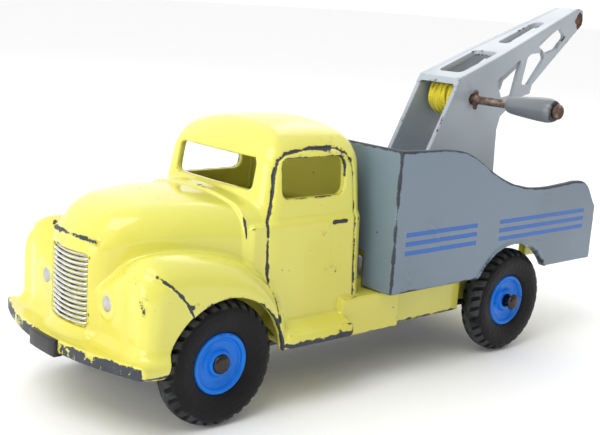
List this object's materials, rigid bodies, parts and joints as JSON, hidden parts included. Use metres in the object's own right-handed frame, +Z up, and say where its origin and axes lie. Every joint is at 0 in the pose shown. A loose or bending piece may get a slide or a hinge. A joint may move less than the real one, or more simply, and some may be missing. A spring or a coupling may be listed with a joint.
{
  "type": "toy tow truck",
  "caption": "Die-cast toy tow truck with rolling wheels, an open rear body and a lattice crane whose hand winch turns.",
  "frame": {"origin": "on the ground midway between the two axles, in the truck's centre plane", "axes": "+X towards the bonnet, +Y to the truck's left, where the winch knob is, +Z up"},
  "size_m": [0.1264, 0.0461, 0.0659],
  "materials": {
    "yellow_enamel": "thick gloss enamel, chipped to dark metal along its edges",
    "grey_enamel": "gloss blue-grey enamel with worn dark edges and plain blue stripes",
    "crane_grey": "satin blue-grey enamel with worn edges and rust at the tip",
    "knob_grey": "satin grey enamel, rubbed",
    "black_tin": "gloss black",
    "blue_enamel": "bright blue gloss",
    "black_rubber": "matt, scuffed grey on the tread",
    "axle_steel": "dark, dull",
    "worn_steel": "rust-stained steel",
    "steel_rivet": "dull steel",
    "yellow_cord": "twisted cotton cord"
  },
  "bodies": {
    "chassis": {"cab_casting": "yellow_enamel", "base_plate": "black_tin", "base_rivets": "steel_rivet", "rear_body": "grey_enamel", "body_rivets": "steel_rivet", "crane_frame": "crane_grey", "crane_rivets": "steel_rivet", "jib_tip_pin": "worn_steel"},
    "front_axle_set": {"front_axle": "axle_steel"},
    "rear_axle_set": {"rear_axle": "axle_steel"},
    "winch": {"winch_spindle": "worn_steel", "winch_knob": "knob_grey", "winch_cord": "yellow_cord"},
    "wheel_front_left": {"hub_front_left": "blue_enamel", "tyre_front_left": "black_rubber"},
    "wheel_front_right": {"hub_front_right": "blue_enamel", "tyre_front_right": "black_rubber"},
    "wheel_rear_left": {"hub_rear_left": "blue_enamel", "tyre_rear_left": "black_rubber"},
    "wheel_rear_right": {"hub_rear_right": "blue_enamel", "tyre_rear_right": "black_rubber"}
  },
  "joints": [
    {"name": "front_axle_spin", "type": "hinge", "parent": "chassis", "child": "front_axle_set", "pos_m": [0.0345, 0, 0.01], "axis": [0, 1, 0], "continuous": true},
    {"name": "wheel_front_left_spin", "type": "hinge", "parent": "front_axle_set", "child": "wheel_front_left", "pos_m": [0.0345, 0.0163, 0.01], "axis": [0, 1, 0], "continuous": true},
    {"name": "wheel_front_right_spin", "type": "hinge", "parent": "front_axle_set", "child": "wheel_front_right", "pos_m": [0.0345, -0.0163, 0.01], "axis": [0, 1, 0], "continuous": true},
    {"name": "rear_axle_spin", "type": "hinge", "parent": "chassis", "child": "rear_axle_set", "pos_m": [-0.0345, 0, 0.01], "axis": [0, 1, 0], "continuous": true},
    {"name": "wheel_rear_left_spin", "type": "hinge", "parent": "rear_axle_set", "child": "wheel_rear_left", "pos_m": [-0.0345, 0.0163, 0.01], "axis": [0, 1, 0], "continuous": true},
    {"name": "wheel_rear_right_spin", "type": "hinge", "parent": "rear_axle_set", "child": "wheel_rear_right", "pos_m": [-0.0345, -0.0163, 0.01], "axis": [0, 1, 0], "continuous": true},
    {"name": "winch_spin", "type": "hinge", "parent": "chassis", "child": "winch", "pos_m": [-0.0339, 0, 0.0473], "axis": [0, 1, 0], "continuous": true}
  ]
}
